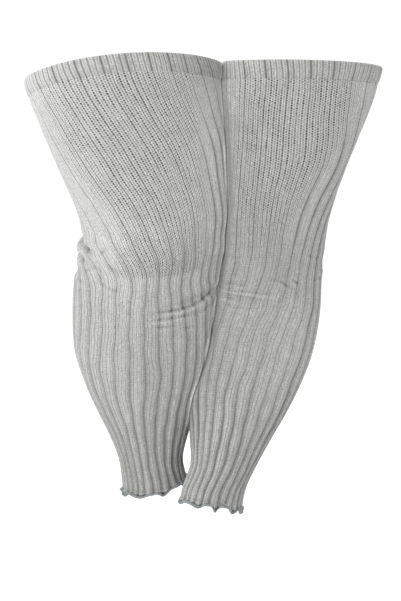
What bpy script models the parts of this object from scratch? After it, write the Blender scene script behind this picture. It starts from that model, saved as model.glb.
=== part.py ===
"""A pair of thigh-high ribbed leg warmers, holding the form they have when worn side by side.

Each one is a knitted tube with a folded band at the thigh and a stretched, wavy edge at the ankle.
The origin is where the two bands are held, between the legs: +Z is up and -Y is the front.
"""
import math
from collections import namedtuple

import bmesh
import bpy
import numpy as np

MM = 0.001

# Knit
RIBS = 28  # wide ribs round each leg
WALL = 2.0 * MM  # cloth under the grooves
SHOULDER = 0.25  # share of a rib at which its flat top begins
SEAM_GAP = 0.3 * MM
PRESS_GAP = 0.9 * MM  # between the two legs where they press together
PRESS_SOFTNESS = 4.0 * MM  # how roundly the cloth turns into the pressed flat
PRESS_SHIFT = 6.0 * MM  # how much further the left leg, which lies behind, gives way

# Thigh band
BAND_HEIGHT = 26 * MM
BAND_PROUD = 2.4 * MM
BAND_WALL = 4.5 * MM
BAND_LIP = 1.0 * MM  # how far inside the tube's face the rim of the fold lies

# Wavy ankle edge
EDGE_WAVES = 15
EDGE_POINTS_PER_WAVE = 5
EDGE_HEIGHT = 7.5 * MM
EDGE_FLARE = 3.6 * MM
EDGE_WAVE_OUT = 3.2 * MM
EDGE_WAVE_DOWN = 2.6 * MM
EDGE_WAVE_LAG = 0.9  # radians from a wave's outermost point to its lowest
EDGE_WALL = 2.0 * MM
EDGE_BEAD = 1.25  # thickness of the overlocked rim, in walls

# Rows of the tubes, by how far below the origin they lie
THIGH_STEP = 42 * MM
KNEE_STEP = 11.5 * MM
CALF_STEP = 27 * MM
KNEE_TOP = 222 * MM
KNEE_END = 360 * MM

# A level of one leg. Drops and lengths are in millimetres, turns in degrees.
# twist carries the ribs round the leg, gather draws those at the sides to the front.
Section = namedtuple(
    "Section", "drop centre_x centre_y half_width half_depth rib twist gather"
)
RIGHT_SECTIONS = [
    Section(-20, -139, -32, 140, 116, 1.3, -24, 0),
    Section(20, -140, -32, 141, 116, 1.3, -21, 0),
    Section(76, -128, -31, 134, 112, 1.3, -12, 0),
    Section(145, -112, -30, 121, 102, 1.4, -4, 0),
    Section(215, -98, -29, 107, 92, 1.8, 0, 0),
    Section(232, -98, -29, 104, 90, 2.0, 0, 0),
    Section(250, -101, -29, 107, 89, 2.1, 0, 0),
    Section(276, -104, -28, 105, 87, 2.2, 0, 0),
    Section(301, -109, -27, 105, 85, 2.3, 0, 0),
    Section(353, -113, -23, 104, 84, 2.4, 0, 0),
    Section(406, -115, -15, 99, 83, 2.5, 0, 0),
    Section(459, -112, -2, 86, 76, 2.6, 0, 0),
    Section(495, -110, 9, 73, 70, 2.7, 0, 0),
    Section(532, -107, 19, 59, 64, 2.8, 0, 0),
    Section(569, -104, 26, 49, 61, 2.8, 0, 0),
    Section(600, -100, 30, 49, 62, 2.8, 0, 0),
    Section(640, -99, 32, 49, 63, 2.8, 0, 0),
]
LEFT_SECTIONS = [
    Section(-20, 88, 32, 149, 117, 1.3, -8, 0),
    Section(10, 85, 32, 145, 116, 1.3, -6, 0),
    Section(30, 82, 32, 143, 115, 1.3, -4, 0),
    Section(76, 75, 31, 133, 112, 1.3, 0, -3),
    Section(145, 62, 30, 118, 102, 1.4, 4, -6),
    Section(215, 51, 29, 107, 92, 1.8, 2, 6),
    Section(252, 48, 29, 104, 89, 2.1, 1, 8),
    Section(301, 45, 27, 103, 85, 2.2, 0, 4),
    Section(353, 43, 23, 102, 84, 2.4, 0, 0),
    Section(406, 38, 16, 97, 83, 2.5, 0, 0),
    Section(459, 29, 5, 85, 76, 2.6, -1, 0),
    Section(495, 21, -6, 74, 70, 2.7, -2, 0),
    Section(532, 12, -17, 60, 64, 2.8, -3, 0),
    Section(569, 2, -25, 49, 61, 2.8, -4, 0),
    Section(600, -11, -29, 47, 62, 2.8, -4, 0),
    Section(650, -20, -31, 47, 63, 2.8, -4, 0),
]

# Heights of a rim over the origin, in millimetres, as one walks round the leg
Rim = namedtuple("Rim", "front right back left")
RIGHT_TOP = Rim(15, 8, -4, -14)
RIGHT_END = Rim(-614, -598, -610, -616)
LEFT_TOP = Rim(12, 9, 9, 10)
LEFT_END = Rim(-620, -635, -628, -621)

# A fold across a leg: turn and drop of its middle, half its spread in degrees, how far it rises
# from its left end to its right one, how far its middle hangs, and the trough's depth and width
Fold = namedtuple("Fold", "turn drop spread rise hang depth width")
# The cloth pushed out of a trough: share of its depth, and place in its widths below it
RIDGES = [(0.5, 1.5), (0.35, -1.6)]
RIGHT_FOLDS = [
    Fold(50, 327, 44, 40, -4, 4.0, 7),
    Fold(25, 350, 24, 10, 0, 2.0, 6),
    Fold(-78, 248, 42, -26, 0, 5.0, 7),
    Fold(-70, 273, 30, -8, 0, 2.2, 6),
    Fold(170, 300, 60, 6, 8, 5.0, 9),
    Fold(185, 328, 50, -8, 6, 3.5, 8),
]
LEFT_FOLDS = [
    Fold(-8, 324, 40, 2, 7, 3.6, 8),
    Fold(-12, 340, 26, -8, 0, 2.0, 7),
    Fold(100, 268, 40, 12, 4, 2.4, 9),
    Fold(185, 300, 60, -6, 8, 5.0, 9),
    Fold(170, 328, 50, 8, 6, 3.5, 8),
]

Leg = namedtuple("Leg", "side sections top end folds rib_start")
RIGHT = Leg(-1, RIGHT_SECTIONS, RIGHT_TOP, RIGHT_END, RIGHT_FOLDS, 0.54)
LEFT = Leg(1, LEFT_SECTIONS, LEFT_TOP, LEFT_END, LEFT_FOLDS, 0.10)


def at_drop(leg, column, drop):
    """One column of a leg's sections at any drops, on a smooth curve through its rows."""
    drops = np.array([section.drop for section in leg.sections]) * MM
    values = np.array([getattr(section, column) for section in leg.sections], float)
    slopes = np.gradient(values, drops)
    row = np.clip(np.searchsorted(drops, drop) - 1, 0, len(drops) - 2)
    length = drops[row + 1] - drops[row]
    t = np.clip((drop - drops[row]) / length, 0, 1)
    start = (1 + 2 * t) * (1 - t) ** 2 * values[row] + t * (1 - t) ** 2 * length * slopes[row]
    end = t * t * (3 - 2 * t) * values[row + 1] - t * t * (1 - t) * length * slopes[row + 1]
    return start + end


def size_at(leg, column, drop):
    return at_drop(leg, column, drop) * MM


def rim_height(rim, turn):
    """Height of a rim at any turn, with no kink between its four named heights."""
    mean = (rim.front + rim.right + rim.back + rim.left) / 4
    to_right = (rim.right - rim.left) / 2
    to_front = (rim.front - rim.back) / 2
    saddle = (rim.front + rim.back - rim.right - rim.left) / 4
    return (
        mean + to_right * np.sin(turn) + to_front * np.cos(turn) + saddle * np.cos(2 * turn)
    ) * MM


def even_turns(share, half_width, half_depth):
    """Turns round an oval, from its front, at shares of its girth."""
    turn = np.linspace(0, 2 * math.pi, 24 * 10 + 1)
    speed = np.hypot(half_width * np.cos(turn), half_depth * np.sin(turn))
    walked = np.concatenate([[0], np.cumsum((speed[1:] + speed[:-1]) / 2)])
    return np.interp(share % 1, walked / walked[-1], turn)


def turns_at(leg, ribs, drop):
    """Turn of each point of a ring, given in ribs from the leg's first groove."""
    share = (ribs + leg.rib_start) / RIBS + at_drop(leg, "twist", drop) / 360
    turn = even_turns(
        share, size_at(leg, "half_width", drop), size_at(leg, "half_depth", drop)
    )
    gather = np.radians(at_drop(leg, "gather", drop))
    return turn - gather * np.sin(turn) * np.abs(np.sin(turn))


def fold_push(leg, turn, drop):
    """How far the folds across a leg push its cloth in, below zero, or out."""
    push = np.zeros_like(drop)
    for fold in leg.folds:
        away = (turn - math.radians(fold.turn) + math.pi) % (2 * math.pi) - math.pi
        along = away / math.radians(fold.spread)
        middle = (fold.drop - fold.rise / 2 * along + fold.hang * (1 - along**2)) * MM
        across = (drop - middle) / (fold.width * MM)
        fade = np.clip(1 - along**2, 0, 1)
        trough = np.exp(-(across**2))
        ridges = sum(share * np.exp(-((across - place) ** 2)) for share, place in RIDGES)
        push += fold.depth * MM * fade * (ridges - trough)
    return push


def press(points, side, behind):
    """Keeps points of one leg clear of the other, behind the plane in which the two legs meet."""
    drop = -points[..., 2]
    right_x = size_at(RIGHT, "centre_x", drop)
    right_y = size_at(RIGHT, "centre_y", drop)
    right_width = size_at(RIGHT, "half_width", drop)
    left_width = size_at(LEFT, "half_width", drop)
    apart_x = size_at(LEFT, "centre_x", drop) - right_x
    apart_y = size_at(LEFT, "centre_y", drop) - right_y
    depth = (size_at(RIGHT, "half_depth", drop) + size_at(LEFT, "half_depth", drop)) / 2
    width = (right_width + left_width) / 2
    normal_x = apart_x / width**2
    normal_y = apart_y / depth**2
    length = np.hypot(normal_x, normal_y)
    normal_x /= length
    normal_y /= length
    share = right_width / (right_width + left_width)
    from_plane = (points[..., 0] - right_x - share * apart_x) * normal_x
    from_plane += (points[..., 1] - right_y - share * apart_y) * normal_y - PRESS_SHIFT
    room = side * from_plane - PRESS_GAP / 2 - behind
    kept = PRESS_SOFTNESS * np.logaddexp(0, room / PRESS_SOFTNESS)
    pressed = points.copy()
    pressed[..., 0] += side * (kept - room) * normal_x
    pressed[..., 1] += side * (kept - room) * normal_y
    return pressed


def on_leg(leg, turn, height, proud):
    """Points at turns and heights, moved out from the leg's rib tops by proud."""
    drop = -height
    half_width = size_at(leg, "half_width", drop)
    half_depth = size_at(leg, "half_depth", drop)
    out_x = half_depth * np.sin(turn)
    out_y = -half_width * np.cos(turn)
    length = np.hypot(out_x, out_y)
    x = size_at(leg, "centre_x", drop) + half_width * np.sin(turn) + proud * out_x / length
    y = size_at(leg, "centre_y", drop) - half_depth * np.cos(turn) + proud * out_y / length
    return np.stack([x, y, height], axis=-1)


def outer_ribs():
    """Places round a ring, in ribs, of each groove and the two shoulders after it."""
    whole = np.arange(RIBS)[:, None]
    return (whole + np.array([0, SHOULDER, 1 - SHOULDER])).ravel()


def groove_mask(ribs):
    """One in a groove and zero on a rib's top."""
    return (ribs % 1 == 0).astype(float)


def tube_drops(leg):
    """Nominal drops of a tube's rows, closest across the knee."""
    first = -(leg.top.front + leg.top.right + leg.top.back + leg.top.left) / 4 * MM
    last = -(leg.end.front + leg.end.right + leg.end.back + leg.end.left) / 4 * MM
    first += BAND_HEIGHT
    last -= EDGE_HEIGHT
    stretches = [
        (first, KNEE_TOP, THIGH_STEP),
        (KNEE_TOP, KNEE_END, KNEE_STEP),
        (KNEE_END, last, CALF_STEP),
    ]
    drops = []
    for start, stop, step in stretches:
        count = max(1, round((stop - start) / step))
        drops += [start + (stop - start) * i / count for i in range(count)]
    return np.array(drops + [last])


def tube_grid(leg, ribs, depth_of):
    """Rows of points of a tube's wall, from its band to its ankle edge."""
    drops = tube_drops(leg)
    rows = []
    for drop in drops:
        turn = turns_at(leg, ribs, drop)
        top = rim_height(leg.top, turn) - BAND_HEIGHT
        end = rim_height(leg.end, turn) + EDGE_HEIGHT
        share = (drop - drops[0]) / (drops[-1] - drops[0])
        height = top + share * (end - top)
        proud = fold_push(leg, turn, -height) - depth_of(leg, ribs, drop)
        rows.append(on_leg(leg, turn, height, proud))
    return np.array(rows)


def outer_depth(leg, ribs, drop):
    return size_at(leg, "rib", drop) * groove_mask(ribs)


def inner_depth(leg, ribs, drop):
    return size_at(leg, "rib", drop) + WALL


def ring_edges(verts):
    ring = set(verts)
    return [
        edge
        for vert in verts
        for edge in vert.link_edges
        if edge.other_vert(vert) in ring and edge.verts[0] == vert
    ]


def extrude_ring(mesh, verts):
    """Extrudes a ring of edges in place and returns the new ring, in the same order."""
    made = bmesh.ops.extrude_edge_only(mesh, edges=ring_edges(verts))["geom"]
    new = {piece for piece in made if isinstance(piece, bmesh.types.BMVert)}
    return [
        next(edge.other_vert(vert) for edge in vert.link_edges if edge.other_vert(vert) in new)
        for vert in verts
    ]


def move_ring(verts, points):
    for vert, point in zip(verts, points):
        vert.co = point


def loft(mesh, rows):
    """Extrudes a ring from row to row, and returns its first and last verts."""
    first = verts = bmesh.ops.create_circle(mesh, segments=len(rows[0]), radius=1)["verts"]
    move_ring(verts, rows[0])
    for row in rows[1:]:
        verts = extrude_ring(mesh, verts)
        move_ring(verts, row)
    return first, verts


def close_rim(mesh, outer, inner):
    """Turns the outer ring in over the wall and welds it, rib by rib, to the inner ring."""
    each = len(outer) // len(inner)
    turned = extrude_ring(mesh, outer)
    bmesh.ops.weld_verts(
        mesh, targetmap={vert: inner[i // each] for i, vert in enumerate(turned)}
    )


def knit_material(name, colour, roughness):
    material = bpy.data.materials.new(name)
    material.use_nodes = True
    shader = material.node_tree.nodes["Principled BSDF"]
    shader.inputs["Base Color"].default_value = (*colour, 1)
    shader.inputs["Roughness"].default_value = roughness
    shader.inputs["Metallic"].default_value = 0
    material.diffuse_color = (*colour, 1)
    return material


def add_wall(name, outer, inner, colour, roughness=0.9):
    """A closed wall: an outer and an inner loft, joined round both rims."""
    mesh = bmesh.new()
    outer_top, outer_end = loft(mesh, outer)
    inner_top, inner_end = loft(mesh, inner)
    close_rim(mesh, outer_top, inner_top)
    close_rim(mesh, outer_end, inner_end)
    bmesh.ops.recalc_face_normals(mesh, faces=mesh.faces)
    data = bpy.data.meshes.new(name)
    mesh.to_mesh(data)
    mesh.free()
    data.shade_smooth()
    data.set_sharp_from_angle(angle=math.radians(50))
    data.materials.append(knit_material(name, colour, roughness))
    bpy.context.collection.objects.link(bpy.data.objects.new(name, data))


def add_tube(leg, name):
    """The knitted leg: ribs raised on the outside over a plain inside."""
    outer = tube_grid(leg, outer_ribs(), outer_depth)
    inner = tube_grid(leg, np.arange(RIBS) + 0.5, inner_depth)
    add_wall(
        name,
        press(outer, leg.side, 0),
        press(inner, leg.side, WALL),
        colour=(0.50, 0.51, 0.50),
    )


def add_band(leg, name):
    """The folded band, a little proud of the tube and round at its top."""
    # share of the band's height, and how far out each row lies
    outer_profile = [(1.0, 0.0), (0.92, 0.8), (0.7, 1.0), (0.15, 1.0), (0.0, 0.3)]
    inner_profile = [(1.0, 0.0), (0.92, 0.8), (0.0, 1.0)]

    def row(ribs, share, proud, grooves):
        drop = BAND_HEIGHT * (1 - share)
        turn = turns_at(leg, ribs, drop)
        low = rim_height(leg.top, turn) - BAND_HEIGHT + SEAM_GAP
        height = low + share * (BAND_HEIGHT - SEAM_GAP)
        return on_leg(leg, turn, height, proud - grooves * size_at(leg, "rib", drop))

    ribs = outer_ribs()
    outer = [
        row(ribs, share, proud * BAND_PROUD, proud * groove_mask(ribs))
        for share, proud in outer_profile
    ]
    plain = np.arange(RIBS) + 0.5
    inner = [
        row(plain, share, -proud * (BAND_WALL - BAND_PROUD) - (1 - proud) * BAND_LIP, 0)
        for share, proud in inner_profile
    ]
    add_wall(
        name,
        press(np.array(outer), leg.side, 0),
        press(np.array(inner), leg.side, BAND_WALL),
        colour=(0.50, 0.51, 0.50),
    )


def add_ankle_edge(leg, name):
    """The stretched edge: it flares and waves more the lower it is."""
    count = EDGE_WAVES * EDGE_POINTS_PER_WAVE
    turn = np.arange(count) / count * 2 * math.pi
    top = rim_height(leg.end, turn) + EDGE_HEIGHT - SEAM_GAP
    uneven = 1 + 0.3 * np.sin(2 * turn + leg.side) + 0.2 * np.sin(5 * turn)
    wave_out = EDGE_WAVE_OUT * uneven * np.cos(EDGE_WAVES * turn)
    wave_down = EDGE_WAVE_DOWN * uneven * np.cos(EDGE_WAVES * turn - EDGE_WAVE_LAG)
    middle = -size_at(leg, "rib", -leg.end.front * MM) - WALL / 2

    def row(share, face):
        height = top - share * (EDGE_HEIGHT - SEAM_GAP) - share**2 * wave_down
        flare = share**1.5 * (EDGE_FLARE + wave_out)
        bead = 1 + share * (EDGE_BEAD - 1)
        return on_leg(leg, turn, height, middle + flare + face * bead * EDGE_WALL / 2)

    shares = (0, 0.5, 1)
    outer = [row(share, 1) for share in shares]
    inner = [row(share, -1) for share in shares]
    add_wall(
        name,
        press(np.array(outer), leg.side, 0),
        press(np.array(inner), leg.side, EDGE_WALL),
        colour=(0.36, 0.39, 0.40),
    )


for old in list(bpy.data.objects):
    bpy.data.objects.remove(old, do_unlink=True)

for leg, side in ((RIGHT, "right"), (LEFT, "left")):
    add_tube(leg, f"{side}_tube")
    add_band(leg, f"{side}_thigh_band")
    add_ankle_edge(leg, f"{side}_ankle_edge")
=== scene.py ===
import math
from collections import namedtuple

import bmesh
import bpy
import numpy as np
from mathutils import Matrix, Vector


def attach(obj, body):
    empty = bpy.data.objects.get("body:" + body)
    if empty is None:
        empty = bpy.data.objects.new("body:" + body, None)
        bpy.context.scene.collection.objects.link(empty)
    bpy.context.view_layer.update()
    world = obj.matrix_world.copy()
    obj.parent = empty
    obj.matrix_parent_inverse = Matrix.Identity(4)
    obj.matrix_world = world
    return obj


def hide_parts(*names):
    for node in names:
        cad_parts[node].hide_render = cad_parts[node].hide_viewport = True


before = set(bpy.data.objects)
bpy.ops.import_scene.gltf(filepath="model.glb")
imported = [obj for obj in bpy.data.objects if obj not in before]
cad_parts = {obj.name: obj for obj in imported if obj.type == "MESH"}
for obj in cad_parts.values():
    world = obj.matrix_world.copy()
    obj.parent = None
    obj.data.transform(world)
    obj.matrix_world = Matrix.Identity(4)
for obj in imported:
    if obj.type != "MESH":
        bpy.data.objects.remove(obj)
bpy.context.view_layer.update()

MM = 0.001


def rows(kind, values):
    """The rows of a table, with their columns named."""
    return [kind(*row) for row in values]


# Knit
RIBS = 28  # wide ribs round each leg
COLUMNS = 4  # fine columns in a rib
WALES = 2  # stitches side by side in a fine column
COURSE = 3.5 * MM  # height of a row of stitches
WALL = 2.0 * MM  # cloth under the grooves
CREASE_ROOM = 3.0 * MM  # more of it at the knee, so that a crease stays in the wall
SEAM_GAP = 0.3 * MM
SEAM_WIDTH = 2.5 * MM  # below the band's seam, where it draws the tube's cloth in
SEAM_SUNK = 0.2 * MM
PRESS_GAP = 0.3 * MM  # between the two legs where they press together
PRESS_SOFTNESS = 0.9 * MM  # how roundly the cloth turns into the pressed flat
PRESS_SHIFT = 6.0 * MM  # how much further the left leg, which lies behind, gives way
MEETING = 2.2 * MM  # from the other leg, where painted light makes the knit paler, as light coming through it would
MEETING_PAINTED_LIGHT = 2.2
PRESS_LOW = 470 * MM  # where they touch last, in a plane turned a little
PRESS_LOW_SPAN = 45 * MM
PRESS_LOW_TURN = 0.1

# Mesh
# Places round a rib that get a point: closest beside the lines between its columns
RIB_PLACES = [
    0, 0.04, 0.125, 0.21, 0.25, 0.29, 0.375, 0.46, 0.5, 0.54, 0.625, 0.71, 0.75, 0.79, 0.875, 0.96
]
THIGH_STEP = 4.6 * MM
KNEE_STEP = 1.9 * MM
CALF_STEP = 3.6 * MM
INNER_STEP = 32 * MM
SLACK_RIB = 2.1 * MM  # height of the ribs beside the stretched cloth
CORNER = 0.3 * MM  # from a seam to the ring beside it, which keeps the shading even up to the seam
KNEE_TOP = 222 * MM  # drops between which the rings lie closest
KNEE_END = 372 * MM
KNEE_MIDDLE = 300 * MM
KNEE_REACH = 80 * MM  # how far from its middle the wall has room for creases
OVAL_STEPS = 240  # straight steps in which the girth of an oval is walked

# Drops between which, down the leg,
SLACKENED = (20 * MM, 130 * MM)  # the cloth beside the stretched thigh turns slack
ROUNDED = (170 * MM, 320 * MM)  # the ribs fill out
RELAXED = (200 * MM, 330 * MM)  # the grooves begin to wander, and their slits close
NARROWED = (400 * MM, 560 * MM)  # the ribs draw close to each other
DARKENED = (390 * MM, 540 * MM)  # and so get more painted shade between them

# Thigh band
BAND_HEIGHT = 26 * MM
BAND_PROUD = 1.8 * MM
BAND_WALL = 4.2 * MM
# Its outer face from the seam up: the share of its height, and how far out in shares of proud
BAND_FOOT = [(0.0, -0.1), (0.012, -0.08), (0.08, 0.08), (0.16, 0.35), (0.26, 0.68), (0.38, 0.92)]
BAND_SHOULDER = 0.84  # share of its height at which the roll at its top begins
BAND_LADDER = 0.25  # how far its ladders are open
BAND_SLIT = 0.75  # how dark the painted shade in the lines of its grooves is
BAND_DARK = 1.15 * MM  # depth of a groove at which its painted shade is full

# Wavy ankle edge
EDGE_WAVES = 9
EDGE_HEIGHT = 7.5 * MM
EDGE_FLARE = 3.6 * MM
EDGE_WAVE_OUT = 2.4 * MM
EDGE_WAVE_DOWN = 3.9 * MM
EDGE_WAVE_LAG = 0.5  # radians from a wave's lowest point to its innermost
EDGE_STITCHED = 0.52  # share of its height at which the stitches begin
EDGE_RIM = 1.05  # and at which the thread climbs over the rim
STITCHES_PER_RIB = 10
THREAD_RADIUS = 0.42 * MM
THREAD_BACK = 0.2 * MM  # from the plane where the legs meet
THREAD_STEPS = 8  # points along one stitch
THREAD_SIDES = 5  # points round the thread

# Looks
KNIT_COLOUR = (0.340, 0.344, 0.334)
THREAD_COLOUR = (0.235, 0.258, 0.275)
EYELET_WIDTH = 0.40  # of a ladder's eyelets to either side of their line, in wales
EYELET_HEIGHT = 0.34  # the same up and down, in courses
FLOOR_HEIGHT = -0.718
LIGHT_SIZE = 1.2
LIGHT_AIM = (-0.03, 0, -0.3)
CAMERA_PLACE = (-0.0314, -2.4, -0.180)
CAMERA_TILT = math.radians(3.602)  # down

# What the random sizes are for, as each kind has its own draws
GROOVES, LINES, BAND_GROOVES, BAND_LINES, GROOVE_TONES, LINE_TONES, SLIT_TONES = range(1, 8)

# A level of one leg, with the height of its ribs. Drops and lengths are in millimetres.
Section = namedtuple("Section", "drop centre_x centre_y half_width half_depth rib")
RIGHT_SECTIONS = rows(Section, [
    (-20, -139, -32, 140, 116, 1.3),
    (20, -140, -32, 141, 116, 1.3),
    (76, -128, -31, 134, 112, 1.3),
    (145, -112, -30, 121, 102, 1.4),
    (215, -98, -29, 107, 92, 2.0),
    (232, -98, -29, 104, 90, 2.2),
    (250, -101, -29, 107, 89, 2.4),
    (276, -104, -28, 105, 87, 2.7),
    (301, -109, -27, 105, 85, 3.0),
    (353, -113, -23, 104, 84, 3.1),
    (406, -115, -15, 99, 83, 3.2),
    (459, -112, -2, 86, 76, 3.3),
    (495, -110, 9, 73, 70, 3.4),
    (532, -107.8, 19, 58.2, 64, 3.3),
    (569, -105, 26, 48, 61, 3.2),
    (600, -100, 30, 49, 62, 3.2),
    (640, -99, 32, 49, 63, 3.2),
])
LEFT_SECTIONS = rows(Section, [
    (-20, 88, 32, 149, 117, 1.3),
    (10, 85, 32, 145, 116, 1.3),
    (30, 82, 32, 143, 115, 1.3),
    (76, 75, 31, 133, 112, 1.3),
    (145, 62, 30, 118, 102, 1.4),
    (215, 51, 29, 107, 92, 2.0),
    (252, 48, 29, 104, 89, 2.2),
    (301, 45, 27, 103, 85, 2.5),
    (353, 43, 23, 102, 84, 2.7),
    (406, 38, 16, 97, 83, 2.8),
    (459, 26.6, 5, 87.4, 76, 3.0),
    (495, 20.5, -6, 74.3, 70, 3.2),
    (532, 12, -17, 60, 64, 3.3),
    (569, 2, -25, 49, 61, 3.2),
    (600, -11, -29, 47, 62, 3.2),
    (650, -20, -31, 47, 63, 3.2),
])

# How the ribs lie at a level, in degrees: twist carries them all round the leg, gather draws
# those at the sides to the back, and crowd those in front to the right
Lay = namedtuple("Lay", "drop twist gather crowd")
RIGHT_LAYS = rows(Lay, [
    (-20, -41, 5, 10),
    (20, -33, 9, 7),
    (60, -28, 10, 7),
    (110, -21, 14, 8),
    (170, -14, 13, 9),
    (230, -4, 9, 7),
    (270, 5, 1, 8),
    (300, 13.5, -6.5, 5),
    (330, 18, -3, 2),
    (380, 20, 2, 2),
    (430, 19, 7, 3),
    (480, 17, 6, 1),
    (520, 20, 4, -4),
    (600, 22, 3, -4),
])
LEFT_LAYS = rows(Lay, [
    (-20, 5, 4, -6),
    (20, 5, 4, -3),
    (60, 8, 4, -5),
    (140, 15, 5, -9),
    (180, 10, 5, -3),
    (230, 5, 3, 3),
    (290, 2, -1, 4),
    (330, 0, -2, -1),
    (380, -7, -2, -5),
    (440, -10, 0, -6),
    (530, -13, 4, -4),
    (600, -17, 4, -2),
])

# Heights of a rim over the origin, in millimetres, as one walks round the leg
Rim = namedtuple("Rim", "front right back left")

# A fold across a leg: turn and drop of its middle, half its spread in degrees, how far it rises
# from its left end to its right one, how far its middle hangs, and the trough's depth and width
Fold = namedtuple("Fold", "turn drop spread rise hang depth width")
# The cloth pushed out of a trough: share of its depth, and place in its widths below it
RIDGES = [(0.5, 1.5), (0.35, -1.6)]
RIGHT_FOLDS = rows(Fold, [
    (50, 327, 44, 40, -4, 4.0, 7),
    (25, 350, 24, 10, 0, 2.0, 6),
    (-70, 245, 40, -46, 0, 3.9, 6),
    (-82, 262, 30, -26, 0, 2.4, 5),
    (-88, 284, 26, -10, 0, 1.6, 6),
    (170, 300, 60, 6, 8, 5.0, 9),
    (185, 328, 50, -8, 6, 3.5, 8),
])
LEFT_FOLDS = rows(Fold, [
    (-8, 320, 44, 2, 7, 4.4, 8),
    (-12, 340, 26, -8, 0, 2.0, 7),
    (100, 268, 40, 12, 4, 1.3, 9),
    (185, 300, 60, -6, 8, 5.0, 9),
    (170, 328, 50, 8, 6, 3.5, 8),
])

# A crease between two places on a leg: how far its middle bows down, the depth and width of its
# trough, and the height of the lip below it
Crease = namedtuple("Crease", "turn drop to_turn to_drop bow depth lip width")
LIP_PLACE = 1.6  # how far the lip is below the trough, in widths of the crease
BROW_PLACE = -1.7  # the same for a smaller lip above it
BROW_SHARE = 0.25  # height of that one, in the trough's depth
RIGHT_CREASES = rows(Crease, [
    (80, 300, 8, 342, 10, 3.2, 2.8, 2.2),
    (42, 345, 4, 354, 1, 1.5, 1.6, 2.2),
    (4, 364, 27, 361, 0, 1.6, 0.8, 2.2),
    (30, 368, 48, 362, 0, 1.9, 0.8, 2.2),
    (72, 326, 50, 345, 1, 1.2, 0.6, 2.6),
    (-86, 239, -48, 261, 0, 3.0, 0.9, 2.7),
    (-45, 266, -33, 250, 0, 1.4, 0.6, 2.8),
    (-41, 269, -37, 297, 1, 1.6, 0.8, 2.4),
    (-94, 256, -58, 273, 1, 1.5, 0.8, 3.4),
    (-60, 285, -44, 277, 1, 1.2, 0.6, 2.8),
    (-34, 274, -22, 286, 1, 1.0, 0.5, 2.4),
    (-38, 300, -20, 312, 1, 1.2, 0.7, 2.6),
    (-70, 296, -52, 303, 1, 1.1, 0.6, 2.8),
    (-96, 278, -70, 284, 1, 1.1, 0.6, 3.2),
    (-100, 258, -126, 247, 2, 1.8, 1.0, 3.4),
    (-98, 286, -120, 292, 1, 1.4, 0.7, 3.2),
    (132, 291, 188, 304, 5, 3.2, 1.8, 2.8),
    (170, 319, 220, 331, 3, 2.6, 1.5, 2.6),
    (116, 311, 154, 319, 1, 1.8, 1.0, 2.6),
    (148, 336, 188, 345, 2, 1.6, 0.9, 2.6),
    (194, 290, 226, 281, 1, 1.6, 0.9, 2.6),
    (102, 284, 128, 278, 1, 1.2, 0.6, 2.8),
])
LEFT_CREASES = rows(Crease, [
    (-48, 303, 20, 319, 3, 1.3, 2.6, 2.6),
    (-40, 311, 6, 324, 2, 2.0, 0.6, 2.0),
    (-30, 320, -8, 328, 1, 0.9, 1.8, 2.4),
    (-28, 332, 2, 340, 1, 0.5, 1.0, 2.6),
    (-36, 299, -4, 306, 1, 1.2, 0.4, 3.6),
    (20, 300, 31, 310, 0, 2.2, 0.9, 2.0),
    (31, 298, 41, 306, 0, 2.4, 0.9, 2.0),
    (14, 344, 25, 322, 0, 1.5, 0.6, 2.4),
    (12, 296, 28, 303, 0, 0.9, 0.5, 2.8),
    (44, 262, 68, 271, 1, 1.1, 0.6, 3.0),
    (58, 300, 82, 296, 1, 1.0, 0.6, 3.0),
    (74, 284, 106, 278, 2, 0.8, 0.4, 3.2),
    (100, 260, 132, 268, 2, 1.5, 0.8, 3.2),
    (144, 294, 202, 304, 5, 3.2, 1.8, 2.8),
    (160, 322, 194, 332, 2, 2.4, 1.4, 2.6),
    (201, 319, 236, 310, 1, 1.8, 1.0, 2.6),
    (174, 347, 208, 340, 2, 1.5, 0.8, 2.6),
    (126, 306, 150, 314, 1, 1.5, 0.8, 2.6),
])

# Where the stretched thigh opens the ladders: the turns between which it does so high up and
# low down and the fades at the two in degrees, and the drop at which it ends in front, how much
# higher it does so 60 degrees from there, and how gently
Ladders = namedtuple("Ladders", "high_from high_to low_from low_to fade fade_to end rise end_fade")
BACK_LADDERS = Ladders(-50, 50, -34, 34, 16, 16, 250, 30, 30)  # on both legs, turned from behind
LADDER_HIGH = 90 * MM  # drop above which the first two turns hold
LADDER_LOW = 250 * MM  # drop below which the next two do

# A patch with soft edges: its middle's turn and drop, how far it reaches round and down, and its
# share, which in the painted light and shade is how much painted shade darkens the knit, or below
# zero how much painted light makes it paler
Patch = namedtuple("Patch", "turn drop spread length share")
# Patches of painted light and shade on each leg's knit
RIGHT_PAINTED_LIGHT_AND_SHADE = rows(Patch, [
    (46, 130, 38, 150, -0.38),
    (-10, 255, 40, 60, -0.4),
    (78, 560, 32, 80, -1.05),
    (-30, 610, 60, 60, 0.15),
    (-75, 0, 35, 50, -0.45),
    (54, 10, 18, 45, 0.6),
    (4, 410, 24, 90, 0.18),
])
LEFT_PAINTED_LIGHT_AND_SHADE = rows(Patch, [
    (4, 265, 45, 60, 0.3),
    (50, 400, 25, 70, -0.25),
    (-62, 170, 26, 150, 0.2),
    (-34, 10, 22, 55, -0.45),
])

# A wander of the grooves round the leg, from knee to ankle: its size in ribs, how many waves
# it has round the leg, and the length of a wave down it
Sway = namedtuple("Sway", "size around down")
SWAYS = rows(Sway, [
    (0.04, 3, 210 * MM),
    (0.035, -5, 120 * MM),
    (0.03, 9, 75 * MM),
    (0.025, -13, 43 * MM),
])
THIGH_SWAY = 0.2  # share of it at the thigh

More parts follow.
